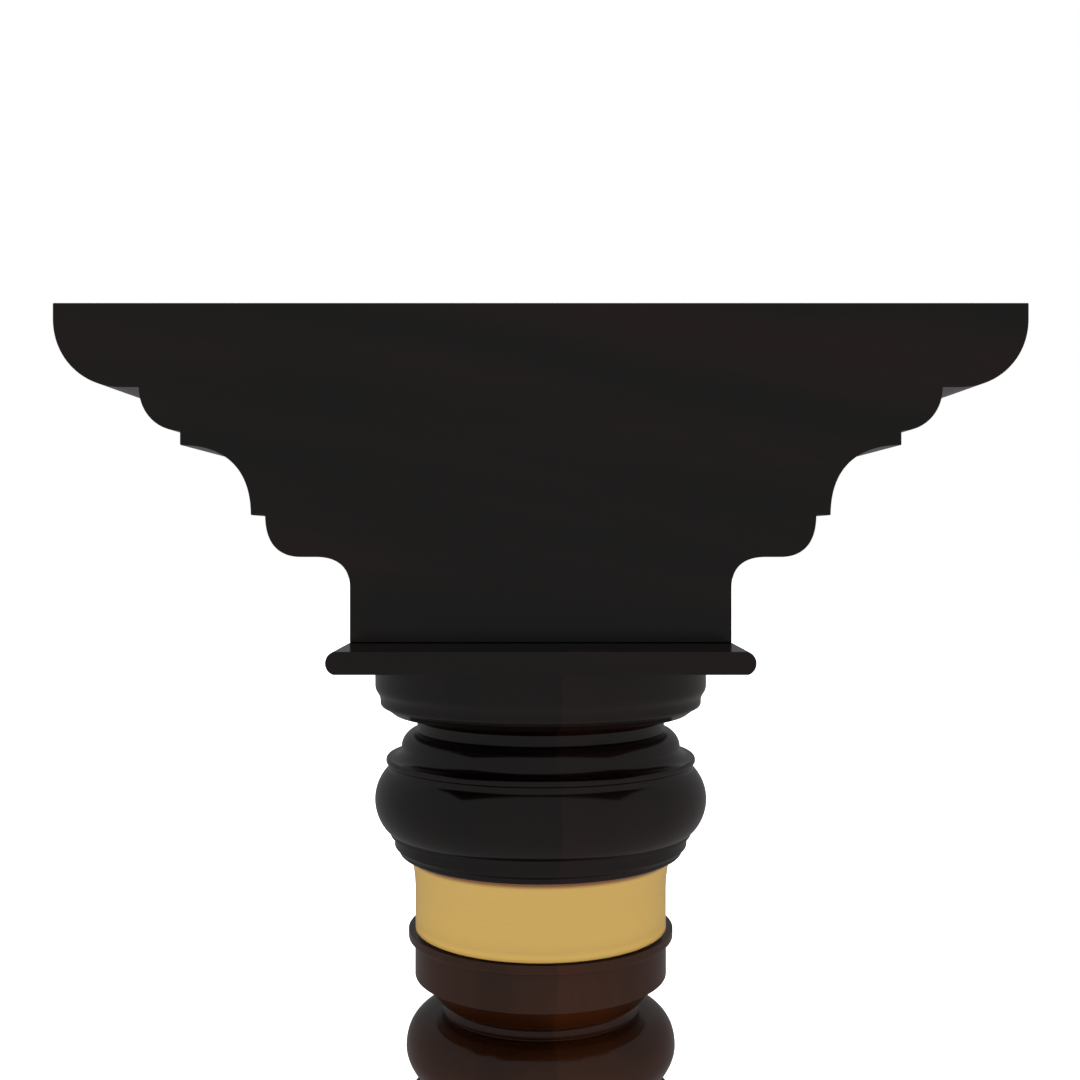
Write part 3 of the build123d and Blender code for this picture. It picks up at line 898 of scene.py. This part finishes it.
# %% Floor
FLOOR_HALF = 12.0
floor_corners = FLOOR_HALF * np.array([(-1, -1, 0), (1, -1, 0), (1, 1, 0), (-1, 1, 0)])
sheet = bpy.data.meshes.new("floor")
sheet.from_pydata(floor_corners.tolist(), [], [(0, 1, 2, 3)])
floor = bpy.data.objects.new("floor", sheet)
bpy.context.scene.collection.objects.link(floor)
paper, _, surface, _ = new_finish("white_paper")
surface.inputs["Base Color"].default_value = (0.93, 0.93, 0.93, 1)
surface.inputs["Roughness"].default_value = 0.9
surface.inputs["Specular IOR Level"].default_value = 0.1
surface.inputs["Emission Color"].default_value = WHITE
surface.inputs["Emission Strength"].default_value = 1.0
sheet.materials.append(paper)
floor.visible_glossy = False
print("floor", 2 * FLOOR_HALF, "m wide")

# %% [markdown]
# The world background does both jobs of the tent: it is white to look at and to light by, and grey
# to polished surfaces. Light Path tells which kind of ray is asking, and the direction of the ray
# says how far behind the capital it is heading. A world is also a lamp that surfaces can aim at,
# and such an aimed ray isn't told apart, so that is switched off.

# %% Light
GREY_IN_FRONT, GREY_BEHIND = 0.279, 0.163
world = bpy.data.worlds.new("tent")
world.use_nodes = True
bpy.context.scene.world = world
sky = world.node_tree
sky.nodes.clear()
gloss_ray = add(sky, "ShaderNodeLightPath").outputs["Is Glossy Ray"]
heading = add(sky, "ShaderNodeTexCoord").outputs["Generated"]
behind = add(sky, "ShaderNodeSeparateXYZ", {0: heading}).outputs[1]
wall = add(sky, "ShaderNodeMapRange",
           {0: behind, 1: -0.3, 2: 1.0, 3: GREY_IN_FRONT, 4: GREY_BEHIND}).outputs[0]
tent = add(sky, "ShaderNodeBackground", {"Color": blend(sky, gloss_ray, WHITE, grey(sky, wall))})
sky.links.new(tent.outputs[0], add(sky, "ShaderNodeOutputWorld").inputs[0])
world.cycles.sampling_method = "NONE"
print("tent: polish sees grey", GREY_IN_FRONT, "in front and", GREY_BEHIND, "behind")

# %% [markdown]
# ## The camera
#
# It stands square in front, level, at about the height of the bracket's neck, so that upright
# lines stay upright without any lens shift. It is close, under a metre away, which is why the
# stack below is seen a little from above.

# %% Camera and tone
DISTANCE = 857.3
ABOVE_BOARD = 76.26
ASIDE = -0.45
camera = bpy.data.objects.new("camera", bpy.data.cameras.new("camera"))
bpy.context.scene.collection.objects.link(camera)
camera.data.sensor_width = 36.0
camera.data.lens = 43.456
camera.location = (ASIDE * MM, -DISTANCE * MM, (board_low + ABOVE_BOARD) * MM)
camera.rotation_euler = (np.pi / 2, 0, 0)
bpy.context.scene.camera = camera
bpy.context.scene.view_settings.view_transform = "Standard"
print("camera", round(camera.location.z, 4), "m up")
